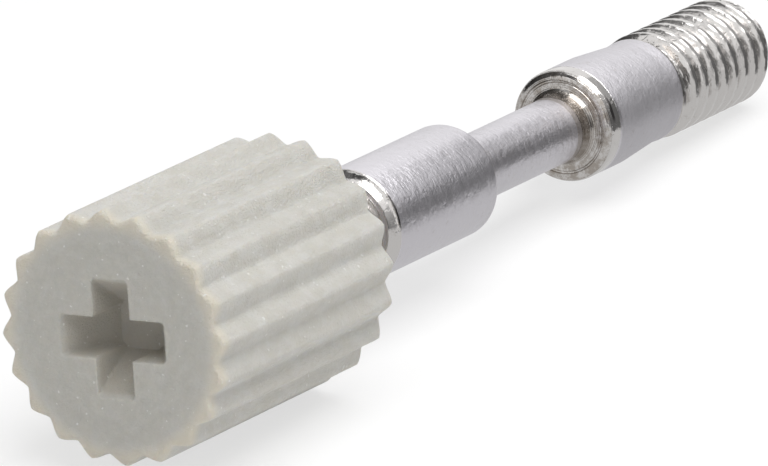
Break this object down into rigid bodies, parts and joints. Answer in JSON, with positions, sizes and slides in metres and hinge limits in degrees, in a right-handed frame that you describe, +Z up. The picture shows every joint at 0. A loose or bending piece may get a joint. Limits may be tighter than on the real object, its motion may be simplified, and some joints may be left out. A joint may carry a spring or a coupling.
{
  "type": "thumb screw",
  "caption": "Captive thumb screw: a ribbed plastic knob with a cross recess on a slim turned steel pin with a shank, an undercut neck, a collar and a short threaded end, lying on its side.",
  "frame": {"origin": "centre of the bounding box in plan, on the surface the screw lies on", "axes": "+X runs from the knob to the threaded end, +Z is up; the screw's own axis dips a few degrees below +X because it rests on the knob's ribs and the thread's rim"},
  "size_m": [0.0268, 0.0056, 0.0061],
  "materials": {
    "knob_plastic": "warm light grey moulded plastic, matt with a fine grain",
    "pin_steel": "turned steel with a bright plating, fine feed marks and polished chamfers"
  },
  "bodies": {
    "root": {"knob": "knob_plastic", "threaded_pin": "pin_steel"}
  },
  "joints": []
}
